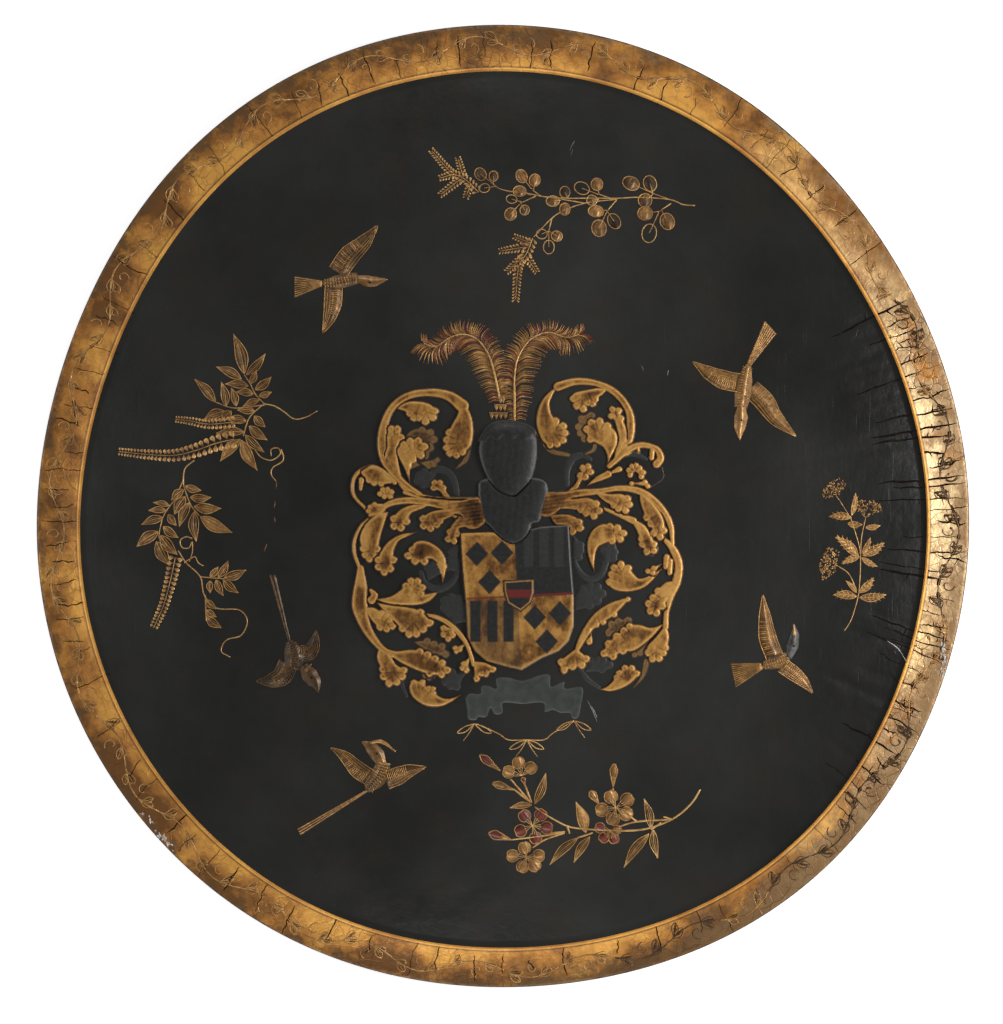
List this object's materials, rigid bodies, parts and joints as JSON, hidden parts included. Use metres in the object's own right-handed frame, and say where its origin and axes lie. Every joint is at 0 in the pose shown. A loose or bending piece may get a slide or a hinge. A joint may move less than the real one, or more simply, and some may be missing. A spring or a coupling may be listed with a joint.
{
  "type": "lacquered hide shield",
  "caption": "Round domed shield of lacquered hide with a gilt rim band and raised heraldic arms on its face, lying face up on its rim.",
  "frame": {"origin": "middle of the shield's extents, in the plane of the flat ring under its rim", "axes": "+Z out of the decorated face, which lies up; +Y to the top of the arms; +X to the right of the arms as they are read"},
  "size_m": [0.5892, 0.6086, 0.0787],
  "materials": {
    "lacquered_hide": "black lacquer with a soft gloss, fine wrinkles and cracks",
    "gold_lacquer": "gold powder in lacquer, worn brown in places",
    "coloured_lacquer": "dull red, grey and grey-green lacquer paint"
  },
  "bodies": {
    "root": {"hide_shield": "lacquered_hide"}
  },
  "joints": []
}
